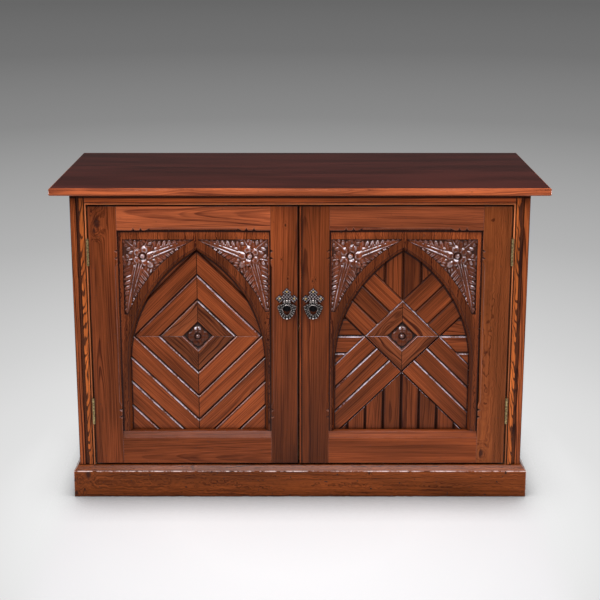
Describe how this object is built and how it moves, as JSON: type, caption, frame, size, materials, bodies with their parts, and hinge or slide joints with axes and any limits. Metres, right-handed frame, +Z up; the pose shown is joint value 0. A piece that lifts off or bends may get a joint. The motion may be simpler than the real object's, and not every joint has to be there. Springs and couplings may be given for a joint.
{
  "type": "storage cupboard",
  "caption": "Free-standing storage cupboard with a shelf, an overhanging top, arched carved panel doors and drop-ring handles.",
  "frame": {"origin": "centre of the footprint of the whole cupboard, on the floor", "axes": "+X to the right, +Y from the doors to the back, +Z up"},
  "size_m": [1.37, 0.564, 0.92],
  "materials": {
    "polished_pine": "glossy french polish",
    "plain_pine": "bare planed wood",
    "brass": "dull aged brass",
    "dark_metal": "worn dark bronzed casting"
  },
  "bodies": {
    "carcass": {"top_board": "polished_pine", "left_side": "polished_pine", "right_side": "polished_pine", "bottom_board": "plain_pine", "shelf": "plain_pine", "shelf_cleats": "plain_pine", "back_boards": "plain_pine", "rear_top_rail": "plain_pine", "left_corner_upright": "polished_pine", "right_corner_upright": "polished_pine", "head_rail": "polished_pine", "opening_beads": "polished_pine", "plinth_front": "polished_pine", "plinth_left": "polished_pine", "plinth_right": "polished_pine", "plinth_back": "plain_pine", "glue_blocks": "plain_pine", "door_stops": "plain_pine", "friction_plates": "brass", "frame_hinge_leaves": "brass", "hinge_pins": "brass", "frame_hinge_screws": "brass"},
    "left_door": {"left_door_hinge_stile": "polished_pine", "left_door_meeting_stile": "polished_pine", "left_door_top_rail": "polished_pine", "left_door_bottom_rail": "polished_pine", "left_door_outer_spandrel": "polished_pine", "left_door_inner_spandrel": "polished_pine", "left_door_diamond_boards": "polished_pine", "left_door_upper_chevrons": "polished_pine", "left_door_lower_chevrons": "polished_pine", "left_door_boss": "polished_pine", "left_door_backing_boards": "plain_pine", "left_door_friction_stud": "brass", "left_door_hinge_leaves": "brass", "left_door_hinge_screws": "brass", "left_handle_plate": "dark_metal", "left_handle_pivot": "dark_metal", "left_handle_nails": "brass"},
    "right_door": {"right_door_hinge_stile": "polished_pine", "right_door_meeting_stile": "polished_pine", "right_door_top_rail": "polished_pine", "right_door_bottom_rail": "polished_pine", "right_door_outer_spandrel": "polished_pine", "right_door_inner_spandrel": "polished_pine", "right_door_diamond_boards": "polished_pine", "right_door_upright_boards": "polished_pine", "right_door_level_boards": "polished_pine", "right_door_raking_boards": "polished_pine", "right_door_boss": "polished_pine", "right_door_backing_boards": "plain_pine", "right_door_friction_stud": "brass", "right_door_hinge_leaves": "brass", "right_door_hinge_screws": "brass", "right_handle_plate": "dark_metal", "right_handle_pivot": "dark_metal", "right_handle_nails": "brass"},
    "left_ring": {"left_handle_ring": "dark_metal"},
    "right_ring": {"right_handle_ring": "dark_metal"}
  },
  "joints": [
    {"name": "left_door_swing", "type": "hinge", "parent": "carcass", "child": "left_door", "pos_m": [-0.5915, -0.2376, 0.494], "axis": [0, 0, -1], "range_deg": [0, 170]},
    {"name": "right_door_swing", "type": "hinge", "parent": "carcass", "child": "right_door", "pos_m": [0.5915, -0.2376, 0.494], "axis": [0, 0, 1], "range_deg": [0, 170]},
    {"name": "left_ring_swing", "type": "hinge", "parent": "left_door", "child": "left_ring", "pos_m": [-0.037, -0.2415, 0.589], "axis": [-1, 0, 0], "range_deg": [0, 160]},
    {"name": "right_ring_swing", "type": "hinge", "parent": "right_door", "child": "right_ring", "pos_m": [0.037, -0.2415, 0.589], "axis": [-1, 0, 0], "range_deg": [0, 160]}
  ]
}
